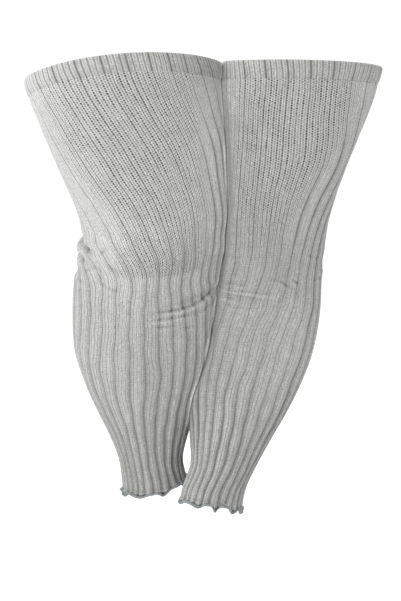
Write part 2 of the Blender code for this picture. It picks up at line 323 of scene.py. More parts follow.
# One leg: its side on x, flat where it stretches the ribs flatter, where its ribs and the waves
# of its edge begin, and how these crowd
Leg = namedtuple("Leg", "side sections lays top end folds creases ladders flat shades rib_start"
    " wave_start wave_crowd seed")
RIGHT = Leg(
    side=-1, sections=RIGHT_SECTIONS, lays=RIGHT_LAYS,
    top=Rim(15, 8, -4, -14), end=Rim(-614, -598, -610, -616),
    folds=RIGHT_FOLDS, creases=RIGHT_CREASES, shades=RIGHT_PAINTED_LIGHT_AND_SHADE,
    ladders=Ladders(-58, 44, -22, 46, 14, 14, 292, 20, 5), flat=Patch(-20, 350, 24, 80, 0.35),
    rib_start=0.54, wave_start=3.45, wave_crowd=3.0, seed=3,
)
LEFT = Leg(
    side=1, sections=LEFT_SECTIONS, lays=LEFT_LAYS,
    top=Rim(12, 9, 9, 10), end=Rim(-620, -635, -628, -621),
    folds=LEFT_FOLDS, creases=LEFT_CREASES, shades=LEFT_PAINTED_LIGHT_AND_SHADE,
    ladders=Ladders(-28, 48, -14, 22, 14, 9, 240, 30, 50), flat=Patch(2, 330, 38, 115, 0.6),
    rib_start=0.10, wave_start=-0.99, wave_crowd=-0.7, seed=8,
)


# ---------------- form


def at_drop(table, column, drop):
    """One column of a table at any drops, on a smooth curve through its rows."""
    drops = np.array([row.drop for row in table]) * MM
    values = np.array([getattr(row, column) for row in table], float)
    slopes = np.gradient(values, drops)
    row = np.clip(np.searchsorted(drops, drop) - 1, 0, len(drops) - 2)
    length = drops[row + 1] - drops[row]
    t = np.clip((drop - drops[row]) / length, 0, 1)
    start = (1 + 2 * t) * (1 - t) ** 2 * values[row] + t * (1 - t) ** 2 * length * slopes[row]
    end = t * t * (3 - 2 * t) * values[row + 1] - t * t * (1 - t) * length * slopes[row + 1]
    return start + end


def size_at(leg, column, drop):
    """One column of a leg's sections at any drops, in metres."""
    return at_drop(leg.sections, column, drop) * MM


Oval = namedtuple("Oval", "centre_x centre_y half_width half_depth")


def oval_at(leg, drop):
    """A leg's section at any drops, in metres."""
    return Oval(*(size_at(leg, column, drop) for column in Oval._fields))


def smooth_step(low, high, value):
    """A smooth ramp from 0 at low to 1 at high."""
    t = np.clip((value - low) / (high - low), 0, 1)
    return t * t * (3 - 2 * t)


def bell(value, width):
    """1 at zero, and falling away smoothly over a width on either side."""
    return np.exp(-((value / width) ** 2))


def rim_height(rim, turn):
    """Height of a rim at any turn, with no kink between its four named heights."""
    mean = sum(rim) / 4
    to_right = (rim.right - rim.left) / 2
    to_front = (rim.front - rim.back) / 2
    saddle = (rim.front + rim.back - rim.right - rim.left) / 4
    height = mean + to_right * np.sin(turn) + to_front * np.cos(turn) + saddle * np.cos(2 * turn)
    return height * MM


def even_turns(share, oval):
    """Turns round an oval, from its front, at shares of its girth."""
    turn = np.linspace(0, 2 * math.pi, OVAL_STEPS + 1)
    speed = np.hypot(oval.half_width * np.cos(turn), oval.half_depth * np.sin(turn))
    walked = np.concatenate([[0], np.cumsum((speed[1:] + speed[:-1]) / 2)])
    return np.interp(share % 1, walked / walked[-1], turn)


def swayed(leg, ribs, drop):
    """Places in ribs, with each groove wandered a little from its even place."""
    phases = np.random.default_rng(leg.seed).uniform(0, 2 * math.pi, len(SWAYS))
    around = 2 * math.pi * ribs / RIBS
    wander = np.zeros_like(ribs)
    for sway, phase in zip(SWAYS, phases):
        wander += sway.size * np.sin(sway.around * around + 2 * math.pi * drop / sway.down + phase)
    share = THIGH_SWAY + (1 - THIGH_SWAY) * smooth_step(*RELAXED, drop)
    return ribs + share * wander


def turns_at(leg, ribs, drop, point_drops):
    """Turn of each point of a ring: in ribs from the leg's first groove, at its own drop."""
    share = (ribs + leg.rib_start) / RIBS + at_drop(leg.lays, "twist", point_drops) / 360
    even = even_turns(share, oval_at(leg, drop))
    gather = at_drop(leg.lays, "gather", point_drops)
    crowd = at_drop(leg.lays, "crowd", point_drops)
    return even + np.radians(gather * np.sin(even) + crowd * np.cos(2 * even))


def ring_turns(leg, ribs, drop, height_at):
    """As turns_at, where the height of a point depends on its turn."""
    ribs = swayed(leg, ribs, drop)
    turn = turns_at(leg, ribs, drop, drop)
    return turns_at(leg, ribs, drop, -height_at(turn))


def turned_by(turn, degrees=0):
    """Turn measured from another one, between minus and plus half a circle."""
    return (turn - math.radians(degrees) + math.pi) % (2 * math.pi) - math.pi


def fold_push(leg, turn, drop):
    """How far the folds across a leg push its cloth in, below zero, or out."""
    push = np.zeros_like(drop)
    for fold in leg.folds:
        along = turned_by(turn, fold.turn) / math.radians(fold.spread)
        middle = (fold.drop - fold.rise / 2 * along + fold.hang * (1 - along**2)) * MM
        across = (drop - middle) / (fold.width * MM)
        fade = np.clip(1 - along**2, 0, 1)
        ridges = sum(share * bell(across - place, 1) for share, place in RIDGES)
        push += fold.depth * MM * fade * (ridges - bell(across, 1))
    return push


def crease_push(leg, ribs, turn, drop):
    """As fold_push, for the short sharp creases, which cut deeper between ribs than over them."""
    push = np.zeros_like(drop)
    between = 0.65 + 0.55 * bell(ribs - np.round(ribs), 0.2)
    radius = size_at(leg, "half_depth", drop)
    for crease in leg.creases:
        span_x = math.radians(crease.to_turn - crease.turn) * radius
        span_y = (crease.to_drop - crease.drop) * MM
        length = np.hypot(span_x, span_y)
        from_x = turned_by(turn, crease.turn) * radius
        from_y = drop - crease.drop * MM
        along = (from_x * span_x + from_y * span_y) / length**2
        across = (from_y * span_x - from_x * span_y) / length * np.sign(span_x)
        across -= crease.bow * MM * 4 * along * (1 - along)
        across /= crease.width * MM
        fade = np.clip(4 * along * (1 - along), 0, 1) ** 0.6
        lip = crease.lip * bell(across - LIP_PLACE, 1)
        brow = BROW_SHARE * crease.depth * bell(across - BROW_PLACE, 1)
        push += MM * fade * (lip + brow - crease.depth * between * bell(across, 1))
    return push


def past_ladders(zone, turn, drop):
    """Degrees from the first turn of a zone of open ladders, and from the last one."""
    low = smooth_step(LADDER_HIGH, LADDER_LOW, drop)
    first = zone.high_from + (zone.low_from - zone.high_from) * low
    last = zone.high_to + (zone.low_to - zone.high_to) * low
    at = turned_by(turn) / math.radians(1)
    return at - first, at - last


def zone_open(zone, turn, drop):
    """How far the ladders of one zone are open, from 0 to 1."""
    first, last = past_ladders(zone, turn, drop)
    beside = smooth_step(-zone.fade, zone.fade, first)
    beside *= 1 - smooth_step(-zone.fade_to, zone.fade_to, last)
    at = turned_by(turn) / math.radians(60)
    beside *= 1 - 0.35 * smooth_step(0.15, 1, -at)
    end = zone.end - zone.rise * at**2
    return beside * (1 - smooth_step(end - zone.end_fade, end + zone.end_fade, drop / MM))


def ladder_open(leg, turn, drop):
    """How far the ladders between the columns are open, in front and behind."""
    return zone_open(leg.ladders, turn, drop) + zone_open(BACK_LADDERS, turn + math.pi, drop)


def reach_of(patch, turn, drop):
    """The share of a patch at any turn and drop."""
    across = turned_by(turn, patch.turn) / math.radians(patch.spread)
    down = (drop / MM - patch.drop) / patch.length
    return patch.share * np.exp(-(across**2) - down**2)


def painted_light_and_shade_at(leg, turn, drop):
    """Painted shade on the leg's knit at any turn and drop, or below zero painted light."""
    return sum(reach_of(patch, turn, drop) for patch in leg.shades)


def behind(turn):
    """How far behind the leg a turn is: 0 in front and at the sides, 1 at the back."""
    return smooth_step(100, 165, np.abs(np.degrees(turned_by(turn))))


def slack(leg, turn, drop):
    """How slack the thigh's cloth is beside the open ladders, up to 1."""
    beside = smooth_step(-6, 16, past_ladders(leg.ladders, turn, drop)[1]) * (1 - behind(turn))
    return beside * smooth_step(*SLACKENED, drop)


def roundness(leg, turn, drop):
    """How round the ribs are: flat where the thigh stretches them, fuller beside that and below."""
    full = np.maximum(0.9 * slack(leg, turn, drop), smooth_step(*ROUNDED, drop))
    return full * (1 - reach_of(leg.flat, turn, drop))


def press(points, side, back):
    """Keeps points of one leg clear of the other: back from the plane where the legs meet."""
    drop = -points[..., 2]
    right = oval_at(RIGHT, drop)
    left = oval_at(LEFT, drop)
    apart_x = left.centre_x - right.centre_x
    apart_y = left.centre_y - right.centre_y
    depth = (right.half_depth + left.half_depth) / 2
    width = (right.half_width + left.half_width) / 2
    normal_x = apart_x / width**2
    normal_y = apart_y / depth**2
    normal_y -= PRESS_LOW_TURN * bell(drop - PRESS_LOW, PRESS_LOW_SPAN) * normal_x
    length = np.hypot(normal_x, normal_y)
    normal_x /= length
    normal_y /= length
    share = right.half_width / (right.half_width + left.half_width)
    from_plane = (points[..., 0] - right.centre_x - share * apart_x) * normal_x
    from_plane += (points[..., 1] - right.centre_y - share * apart_y) * normal_y - PRESS_SHIFT
    room = side * from_plane - PRESS_GAP / 2 - back
    kept = PRESS_SOFTNESS * np.logaddexp(0, room / PRESS_SOFTNESS)
    pressed = points.copy()
    pressed[..., 0] += side * (kept - room) * normal_x
    pressed[..., 1] += side * (kept - room) * normal_y
    return pressed


def press_wall(leg, rings, outside, wall):
    """The rings of a wall, of which the first ones are outside, kept clear of the other leg."""
    rings = np.array(rings)
    rings[:outside] = press(rings[:outside], leg.side, 0)
    rings[outside:] = press(rings[outside:], leg.side, wall)
    return rings


def meet_other(leg, rings, hollows, outside, wall):
    """As press_wall, with painted light making the painted shading paler where the legs touch."""
    rings = press_wall(leg, rings, outside, wall)
    hollows = np.array(hollows)
    hollows[:outside] -= MEETING_PAINTED_LIGHT * beside_other(leg, rings[:outside])
    return rings, hollows


def beside_other(leg, points):
    """How near points of one leg are to the other leg, up to 1 where the two touch."""
    other = oval_at(LEFT if leg is RIGHT else RIGHT, -points[..., 2])
    x = (points[..., 0] - other.centre_x) / other.half_width
    y = (points[..., 1] - other.centre_y) / other.half_depth
    away = (np.hypot(x, y) - 1) * (other.half_width + other.half_depth) / 2
    return bell(np.maximum(away, 0), MEETING)


def on_leg(leg, turn, height, proud):
    """Points at turns and heights, moved out from the leg's rib tops by proud."""
    oval = oval_at(leg, -height)
    out_x = oval.half_depth * np.sin(turn)
    out_y = -oval.half_width * np.cos(turn)
    length = np.hypot(out_x, out_y)
    x = oval.centre_x + oval.half_width * np.sin(turn) + proud * out_x / length
    y = oval.centre_y - oval.half_depth * np.cos(turn) + proud * out_y / length
    return np.stack([x, y, height], axis=-1)


def each_rib(leg, ribs, use, low, high, columns=1):
    """A size of its own for each groove, or for each line between columns, all down the leg."""
    count = RIBS * columns
    sizes = np.random.default_rng(leg.seed + use).uniform(low, high, count)
    return sizes[np.round(ribs * columns).astype(int) % count]


def from_lines(ribs):
    """Distances in ribs from the nearest groove, and from the nearest line between columns."""
    columns = ribs * COLUMNS
    return np.abs(ribs - np.round(ribs)), np.abs(columns - np.round(columns)) / COLUMNS


def rib_groove(leg, ribs, turn, drop):
    """Depth of the cloth's face under the rib tops: slits at the thigh, rounded ribs below."""
    from_groove, from_line = from_lines(ribs)
    full = roundness(leg, turn, drop)
    ankle = smooth_step(*NARROWED, drop)
    slit_like = 0.55 * bell(from_groove, 0.032)
    wide = (1 - ankle) * (1 - 2 * from_groove) ** 2 + ankle * np.cos(math.pi * from_groove) ** 2
    narrow = (0.11 + 0.04 * ankle) * (1 + 0.5 * np.sin(turn) ** 2)
    rounded = 0.45 * bell(from_groove, narrow) + 0.62 * wide
    rib = size_at(leg, "rib", drop)
    height = rib * (1 - full) + full * np.maximum(rib, SLACK_RIB)
    main = slit_like * (1 - full) + rounded * full
    main *= height * each_rib(leg, ribs, GROOVES, 0.8, 1.15)
    fine = (0.5 + 0.5 * full) * MM * each_rib(leg, ribs, LINES, 0.3, 1.3, COLUMNS)
    return main + fine * bell(from_line, 0.034 + 0.014 * full) * (1 - bell(from_groove, 0.08))


def hollow(leg, ribs, turn, drop, push):
    """Painted shade in the cloth's colour, in grooves and creases; below zero it is painted light.
    """
    from_groove, from_line = from_lines(ribs)
    ankle = smooth_step(*DARKENED, drop)
    below = smooth_step(*ROUNDED, drop)
    side = np.sin(turn) ** 2
    # painted shade in the grooves: deeper where the ribs are round, at the sides and at the ankle
    depth = (0.95 + 0.3 * side) * roundness(leg, turn, drop) + 0.45 * ankle
    grooved = depth * bell(from_groove, (0.15 + 0.03 * ankle) * (1 + 0.5 * side))
    grooved += 0.9 * (slack(leg, turn, drop) * (1 - below)) * bell(from_groove, 0.07)
    grooved *= each_rib(leg, ribs, GROOVE_TONES, 0.7, 1.15)
    # painted shade in the lines between columns of the round ribs
    lined = bell(from_line, 0.062) * each_rib(leg, ribs, LINE_TONES, 0.1, 0.9, COLUMNS) * below
    # painted shade in the troughs of creases, and painted light, below zero, on their lips
    creased = np.clip(-push / (3.2 * MM), -0.7, 1)
    return np.maximum(grooved, lined) + creased + painted_light_and_shade_at(leg, turn, drop)


def slit(leg, ribs, turn, drop):
    """How dark the painted shade in the thin line of a rib's groove is."""
    before = smooth_step(0, 25, -past_ladders(leg.ladders, turn, drop)[0])
    shut = 1 - 0.45 * ladder_open(leg, turn, drop)
    shut *= 1 - 0.6 * before * (1 - behind(turn))
    shut *= 1 + 0.45 * slack(leg, turn, drop)
    shown = 1 - 0.75 * smooth_step(*RELAXED, drop)
    return shown * shut * each_rib(leg, ribs, SLIT_TONES, 0.7, 1.25)


# ---------------- mesh


def in_scene(name, data):
    """A new object in the scene."""
    item = bpy.data.objects.new(name, data)
    bpy.context.scene.collection.objects.link(item)
    return item


def sleeve(name, ribs, rings, knit_rows, **looks):
    """A closed wall from a flat grid: round the leg one way, down the outside and up the inside.

    rings holds the points of each row, ribs where round it they are, knit_rows the rows'
    courses of stitches, and looks named values at the points for the material.
    """
    count = len(rings)
    around = len(ribs) - 1
    mesh = bmesh.new()
    mesh.loops.layers.uv.new("knit")
    bmesh.ops.create_grid(mesh, x_segments=around, y_segments=count, size=0.5, calc_uvs=True)
    data = bpy.data.meshes.new(name)
    mesh.to_mesh(data)
    mesh.free()
    points = np.concatenate([rings, rings[:1]])
    data.vertices.foreach_set("co", points.astype(np.float32).ravel())
    for look, values in looks.items():
        attribute = data.attributes.new(look, "FLOAT", "POINT")
        values = np.concatenate([values, values[:1]])
        attribute.data.foreach_set("value", values.astype(np.float32).ravel())
    knit = data.uv_layers["knit"]
    layout = np.empty(len(knit.uv) * 2, np.float32)
    knit.uv.foreach_get("vector", layout)
    layout = layout.reshape(-1, 2)
    baked = data.uv_layers.new(name="OFBake", do_init=False)
    row_at = np.arange(count + 1)
    walked = np.linalg.norm(np.diff(points.mean(axis=1), axis=0), axis=1)
    walked += np.linalg.norm(np.diff(points[:, 0], axis=0), axis=1)
    share = np.concatenate([[0], np.cumsum(walked)]) / walked.sum()
    row = layout[:, 1] * count
    flat = np.stack([layout[:, 0], np.interp(row, row_at, share)], axis=1)
    baked.uv.foreach_set("vector", (0.002 + 0.996 * flat).astype(np.float32).ravel())
    courses = np.append(knit_rows, knit_rows[0])
    rib = np.interp(layout[:, 0] * around, np.arange(around + 1), ribs)
    stitched = np.stack([rib, np.interp(row, row_at, courses)], axis=1)
    knit.uv.foreach_set("vector", stitched.astype(np.float32).ravel())
    mesh = bmesh.new()
    mesh.from_mesh(data)
    bmesh.ops.remove_doubles(mesh, verts=mesh.verts, dist=1e-7)
    bmesh.ops.recalc_face_normals(mesh, faces=mesh.faces)
    mesh.to_mesh(data)
    mesh.free()
    data.shade_smooth()
    return in_scene(name, data)


def mean_height(rim):
    """Height of a rim, on average round the leg."""
    return sum(rim) / 4 * MM


def end_drop(leg):
    """Drop of the seam between a leg's tube and its ankle edge, on average round the leg."""
    return -mean_height(leg.end) - EDGE_HEIGHT


def stepped(start, stop, step):
    """Places from start to just before stop, evenly spaced by about a step."""
    count = max(1, round(abs(stop - start) / step))
    return [start + (stop - start) * i / count for i in range(count)]


def tube_drops(leg):
    """Drops of the tube's rings down its outside, and back up its inside."""
    first = BAND_HEIGHT - mean_height(leg.top)
    last = end_drop(leg)
    outer = [first] + stepped(first + CORNER, KNEE_TOP, THIGH_STEP)
    outer += stepped(KNEE_TOP, KNEE_END, KNEE_STEP)
    outer += stepped(KNEE_END, last - CORNER, CALF_STEP) + [last - CORNER, last]
    return np.array(outer), np.array(stepped(last, first, INNER_STEP) + [first])


def tube_ring(leg, ribs, drop, first, last):
    """Turns and heights of one ring of the tube."""

    def height_at(turn):
        top = rim_height(leg.top, turn) - BAND_HEIGHT
        end = rim_height(leg.end, turn) + EDGE_HEIGHT
        return top + (drop - first) / (last - first) * (end - top)

    turn = ring_turns(leg, ribs, drop, height_at)
    return turn, height_at(turn)


def rib_points():
    """Places round a whole ring, in ribs."""
    return np.append((np.arange(RIBS)[:, None] + np.array(RIB_PLACES)).ravel(), RIBS)


def make_tube(leg, name):
    """The knitted leg."""
    outer_drops, inner_drops = tube_drops(leg)
    first, last = outer_drops[0], outer_drops[-1]
    ribs = rib_points()
    rings = []
    looks = []
    for drop in outer_drops:
        turn, height = tube_ring(leg, ribs, drop, first, last)
        push = crease_push(leg, ribs, turn, -height)
        seam = SEAM_SUNK * bell(drop - first, SEAM_WIDTH)
        proud = fold_push(leg, turn, -height) + push - rib_groove(leg, ribs, turn, drop) - seam
        rings.append(on_leg(leg, turn, height, proud))
        # painted shade in grooves and creases, and painted light on the creases' lips
        dark = hollow(leg, ribs, turn, -height, push)
        looks.append((ladder_open(leg, turn, -height), dark, slit(leg, ribs, turn, -height)))
    for drop in inner_drops:
        turn, height = tube_ring(leg, ribs, drop, first, last)
        room = CREASE_ROOM * np.exp(-(((drop - KNEE_MIDDLE) / KNEE_REACH) ** 4))
        proud = fold_push(leg, turn, -height) - size_at(leg, "rib", drop) - WALL - room
        rings.append(on_leg(leg, turn, height, proud))
        none = np.zeros_like(turn)
        looks.append((ladder_open(leg, turn, -height), none, none))
    ladder, hollows, slits = np.stack(looks, axis=1)
    rings, hollows = meet_other(leg, rings, hollows, len(outer_drops), WALL)
    courses = np.concatenate([outer_drops, inner_drops]) / COURSE
    return sleeve(name, ribs, rings, courses, ladder=ladder, hollow=hollows, slit=slits)


def make_band(leg, name):
    """The band: the knit turned down double, so that its top is a soft roll."""
    face = [(share, 1.0) for share in np.linspace(BAND_FOOT[-1][0], BAND_SHOULDER, 6)[1:]]
    roll = [(0.5 + 0.5 * math.cos(a), math.sin(a)) for a in np.linspace(0, math.pi, 11)[1:-1]]
    inner = BAND_PROUD - BAND_WALL
    rings = []
    courses = []
    hollows = []
    ribs = rib_points()

    def ring(share, proud, groove):
        drop = BAND_HEIGHT * (1 - share)

        def height_at(turn):
            low = rim_height(leg.top, turn) - BAND_HEIGHT + SEAM_GAP
            return low + share * (BAND_HEIGHT - SEAM_GAP)

        turn = ring_turns(leg, ribs, drop, height_at)
        height = height_at(turn)
        depth = groove * band_groove(leg, ribs, turn)
        rings.append(on_leg(leg, turn, height, proud - depth))
        courses.append(drop / COURSE)
        # painted shade in the band's grooves, and the patches of painted light and shade
        hollows.append(depth / BAND_DARK + painted_light_and_shade_at(leg, turn, -height))

    for share, out in BAND_FOOT + face:
        ring(share, BAND_PROUD * out, 1)
    for out, up in roll:
        ring(BAND_SHOULDER + (1 - BAND_SHOULDER) * up, inner + BAND_WALL * out, out)
    for share in np.linspace(BAND_SHOULDER, 0, 7):
        ring(share, inner, 0)
    outside = len(BAND_FOOT) + len(face) + (len(roll) + 1) // 2
    rings, hollows = meet_other(leg, rings, hollows, outside, BAND_WALL)
    ladder = np.full(rings.shape[:2], BAND_LADDER)
    slits = np.full(rings.shape[:2], BAND_SLIT)
    return sleeve(name, ribs, rings, courses, ladder=ladder, hollow=hollows, slit=slits)


def band_groove(leg, ribs, turn):
    """The band's columns, each fourth one parted more deeply, and less so round the outer side."""
    from_groove, from_line = from_lines(ribs)
    main = 1.6 * MM * bell(from_groove, 0.062) * each_rib(leg, ribs, BAND_GROOVES, 0.7, 1.2)
    line = MM * bell(from_line, 0.045) * each_rib(leg, ribs, BAND_LINES, 0.4, 1.2, COLUMNS)
    outer = 0.5 * smooth_step(45, 80, np.degrees(turned_by(turn)) * leg.side)
    return np.maximum(main, line) * (1 - outer)


def edge_waves(leg, ribs):
    """Turns and heights along the edge's seam, how far its waves hang there and how they lag."""

    def height_at(turn):
        return rim_height(leg.end, turn) + EDGE_HEIGHT - SEAM_GAP

    turn = ring_turns(leg, ribs, end_drop(leg), height_at)
    wave = EDGE_WAVES * turn + leg.wave_start
    wave += 0.9 * np.sin(2 * turn + leg.wave_crowd) + 0.5 * np.sin(5 * turn)
    # narrow tips that hang and draw in, with wide arches between them that stand out
    tip = 1.55 * (0.5 + 0.5 * np.cos(wave)) ** 2.4 - 0.55
    late = 1.5 * (0.5 + 0.5 * np.cos(wave - EDGE_WAVE_LAG)) ** 2 - 0.55
    return turn, height_at(turn), tip, late


def edge_point(leg, ribs, share, face):
    """A point of the wavy edge: share runs from tube to rim, face from inside to outside."""
    last = end_drop(leg)
    turn, height, tip, late = edge_waves(leg, ribs)
    uneven = 1 + 0.35 * np.sin(2 * turn + leg.side) + 0.25 * np.sin(5 * turn)
    height = height - share * (EDGE_HEIGHT - SEAM_GAP)
    height -= smooth_step(0, 0.7, share) * EDGE_WAVE_DOWN * uneven * tip
    flare = share**1.5 * (EDGE_FLARE - EDGE_WAVE_OUT * uneven * late)
    groove = rib_groove(leg, ribs, turn, last) * (1 - 0.45 * share)
    inner = -size_at(leg, "rib", last) - WALL
    proud = flare + (-groove * (1 + face) + inner * (1 - face)) / 2
    return on_leg(leg, turn, height, proud)


def make_edge(leg, name):
    """The overlocked edge, stretched as it was sewn so that it waves."""
    ribs = rib_points()
    outer_shares = np.concatenate([[0, 0.05], np.linspace(0.12, 0.94, 10)])
    inner_shares = np.linspace(0.94, 0, 5)
    points = [(share, 1) for share in outer_shares] + [(1, 0.7), (1.02, 0), (1, -0.7)]
    points += [(share, -1) for share in inner_shares]
    rings = [edge_point(leg, ribs, share, face) for share, face in points]
    outside = len(outer_shares) + 1
    rings = press_wall(leg, rings, outside, WALL)
    hollows = np.zeros(rings.shape[:2])
    turn, _, tip, _ = edge_waves(leg, ribs)
    hollows[:outside] = hollow(leg, ribs, turn, end_drop(leg), 0)
    # painted shade in the cloth above the stitches, where the roll begins, deeper where the waves
    # hang
    painted_shade_above_stitches = bell(outer_shares - EDGE_STITCHED, 0.1)[:, None]
    hollows[: len(outer_shares)] += painted_shade_above_stitches * (1.5 + 0.4 * np.maximum(tip, 0))
    steps = np.concatenate([outer_shares, [1.0, 1.1, 1.2], 2.2 - inner_shares])
    courses = (end_drop(leg) + steps * EDGE_HEIGHT) / COURSE
    return sleeve(name, ribs, rings, courses, hollow=hollows)


def make_stitches(leg, name):
    """The overlock thread: it climbs over the rim and back through the cloth all the way round."""
    stitches = RIBS * STITCHES_PER_RIB
    along = np.linspace(0, 1, stitches * THREAD_STEPS + 1)
    loop = along * stitches * 2 * math.pi
    ribs = along * RIBS
    middle = (EDGE_RIM + EDGE_STITCHED) / 2
    share = middle + (EDGE_RIM - middle) * np.cos(loop)
    face = 1.12 * np.sin(loop)
    centre = edge_point(leg, ribs, share, face)
    centre[-1] = centre[0]
    ahead = np.roll(centre[:-1], -1, axis=0) - np.roll(centre[:-1], 1, axis=0)
    ahead = np.concatenate([ahead, ahead[:1]])
    ahead /= np.linalg.norm(ahead, axis=1)[:, None]
    side = np.cross(ahead, (0.3, 0.2, 1.0))
    side /= np.linalg.norm(side, axis=1)[:, None]
    up = np.cross(side, ahead)
    angle = np.linspace(0, 2 * math.pi, THREAD_SIDES + 1)[:-1]
    rings = [centre + THREAD_RADIUS * (side * math.cos(a) + up * math.sin(a)) for a in angle]
    rings = press(np.array(rings), leg.side, THREAD_BACK)
    # painted shade where it enters the cloth and where the waves hang
    sunk_in_painted_shade = 0.9 * bell(share - EDGE_STITCHED, 0.12)
    sunk_in_painted_shade += 0.45 * np.maximum(edge_waves(leg, ribs)[2], 0)
    courses = np.linspace(0, 1, THREAD_SIDES)
    return sleeve(name, ribs, rings, courses, hollow=[sunk_in_painted_shade] * THREAD_SIDES)


# ---------------- materials


class Nodes:
    """Makes and links the nodes of one tree, and gives back what they put out."""

    def __init__(self, tree):
        self.tree = tree

    def add(self, kind, inputs=None, **settings):
        """A new shader node itself, with its settings and its named or numbered inputs."""
        node = self.tree.nodes.new("ShaderNode" + kind)
        for key, value in settings.items():
            setattr(node, key, value)
        self.fill(node.inputs, inputs or {})
        return node

    def fill(self, sockets, values):
        for key, value in values.items():
            self.set(sockets[key], value)

    def set(self, socket, value):
        if isinstance(value, bpy.types.NodeSocket):
            self.tree.links.new(value, socket)
        elif value is not None:
            socket.default_value = value

    def math(self, operation, *values, clamp=False):
        node = self.add("Math", dict(enumerate(values)), operation=operation, use_clamp=clamp)
        return node.outputs[0]

    def plus(self, first, second):
        return self.math("ADD", first, second)

    def minus(self, first, second):
        return self.math("SUBTRACT", first, second)

    def times(self, first, second):
        return self.math("MULTIPLY", first, second)

    def scaled(self, colour, factor):
        inputs = {"Vector": colour, "Scale": factor}
        return self.add("VectorMath", inputs, operation="SCALE").outputs[0]

    def step(self, low, high, value):
        """A smooth ramp from 0 at low to 1 at high."""
        inputs = {"Value": value, "From Min": low, "From Max": high}
        node = self.add("MapRange", inputs, interpolation_type="SMOOTHSTEP")
        return node.outputs["Result"]

    def noise(self, vector, scale, detail=2.0, roughness=0.5):
        inputs = {"Vector": vector, "Scale": scale, "Detail": detail, "Roughness": roughness}
        return self.add("TexNoise", inputs).outputs["Fac"]

    def own_value(self, x, y):
        """A random value for each whole x and y."""
        node = self.add("TexWhiteNoise", {"Vector": self.vector(x, y)}, noise_dimensions="2D")
        return node.outputs["Value"]

    def mix(self, share, first, second):
        inputs = {0: share, 6: first, 7: second}
        return self.add("Mix", inputs, data_type="RGBA").outputs[2]

    def vector(self, x, y):
        return self.add("CombineXYZ", {"X": x, "Y": y}).outputs[0]

    def look(self, name):
        """A value that the points of a piece carry."""
        return self.add("Attribute", attribute_name=name).outputs["Fac"]

    def bump(self, height, distance, normal=None):
        inputs = {"Height": height, "Distance": distance, "Normal": normal}
        return self.add("Bump", inputs).outputs[0]

    def group(self, tree, **inputs):
        inputs = {key.capitalize(): value for key, value in inputs.items()}
        return self.add("Group", inputs, node_tree=tree).outputs


def new_group(name, inputs, outputs):
    """An empty node group with named sockets, each a name, a kind and a default."""
    tree = bpy.data.node_groups.new(name, "ShaderNodeTree")
    for socket_name, kind, default in inputs:
        socket = tree.interface.new_socket(socket_name, in_out="INPUT", socket_type=kind)
        socket.default_value = default
    for socket_name, kind in outputs:
        tree.interface.new_socket(socket_name, in_out="OUTPUT", socket_type=kind)
    nodes = Nodes(tree)
    start = tree.nodes.new("NodeGroupInput").outputs
    end = tree.nodes.new("NodeGroupOutput").inputs
    return tree, nodes, start, end


FLOAT = "NodeSocketFloat"
COLOUR = "NodeSocketColor"


def stitch_group():
    """Stitches in wales, and the ladders that open between them where the knit is stretched."""
    tree, nodes, start, end = new_group(
        "Rib stitches",
        [("Rib", FLOAT, 0.0), ("Course", FLOAT, 0.0), ("Ladder", FLOAT, 0.0)],
        [("Height", FLOAT), ("Hole", FLOAT), ("Line", FLOAT), ("Groove", FLOAT), ("Grain", FLOAT)],
    )
    rib, course, ladder = start["Rib"], start["Course"], start["Ladder"]
    wale = nodes.times(rib, COLUMNS * WALES)
    line_number = nodes.math("FLOOR", nodes.plus(wale, 0.5))
    from_line = nodes.math("PINGPONG", wale, 0.5)
    # lines between the two wales of one column are fainter, and their eyelets half a course off
    faint = nodes.math("FLOORED_MODULO", line_number, WALES)
    place = nodes.math("FLOORED_MODULO", line_number, COLUMNS * WALES)
    row = nodes.plus(course, nodes.times(faint, 0.5))
    strength = nodes.minus(1.0, nodes.times(faint, 0.55))
    strength = nodes.minus(strength, nodes.times(nodes.math("LESS_THAN", place, 0.5), 0.1))
    # a line is drawn tighter on some stretches than on others, each line in its own way
    stretch = nodes.vector(nodes.times(line_number, 7.31), nodes.times(row, 0.085))
    drawn = nodes.step(0.32, 0.68, nodes.noise(stretch, 1.0, 1.0))
    strength = nodes.times(strength, nodes.plus(0.55, nodes.times(drawn, 0.9)))
    across = nodes.math("DIVIDE", from_line, EYELET_WIDTH)
    from_row = nodes.minus(0.5, nodes.math("PINGPONG", row, 0.5))
    down = nodes.math("DIVIDE", from_row, EYELET_HEIGHT)
    away = nodes.math("SQRT", nodes.plus(nodes.times(across, across), nodes.times(down, down)))
    spot = nodes.own_value(line_number, nodes.math("FLOOR", row))
    size = nodes.plus(0.75, nodes.times(spot, 0.45))
    outside = nodes.step(nodes.times(size, 0.45), nodes.times(size, 1.1), away)
    eyelet = nodes.minus(1.0, outside)
    hole = nodes.math("MULTIPLY", eyelet, nodes.times(ladder, strength), clamp=True)
    # the body of each stitch, some in paler yarn than others
    stitch_row = nodes.math("FLOOR", nodes.plus(course, 0.5))
    stitch = nodes.own_value(nodes.math("FLOOR", wale), stitch_row)
    between = nodes.times(nodes.math("PINGPONG", course, 0.5), 2.0)
    body = nodes.times(nodes.times(from_line, 2.0), nodes.plus(0.35, nodes.times(between, 0.65)))
    grain = nodes.times(body, nodes.plus(0.25, stitch))
    beside_line = nodes.step(0.05, 0.36, from_line)
    fainter = nodes.minus(1.0, nodes.times(faint, 0.5))
    line = nodes.times(nodes.minus(1.0, beside_line), fainter)
    beside_groove = nodes.step(0.015, 0.058, nodes.math("PINGPONG", rib, 0.5))
    height = nodes.minus(body, nodes.times(hole, 2.0))
    nodes.fill(end, {"Hole": hole, "Line": line, "Groove": nodes.minus(1.0, beside_groove)})
    nodes.set(end["Height"], nodes.minus(height, nodes.times(line, 0.5)))
    nodes.set(end["Grain"], nodes.minus(grain, 0.22))
    return tree


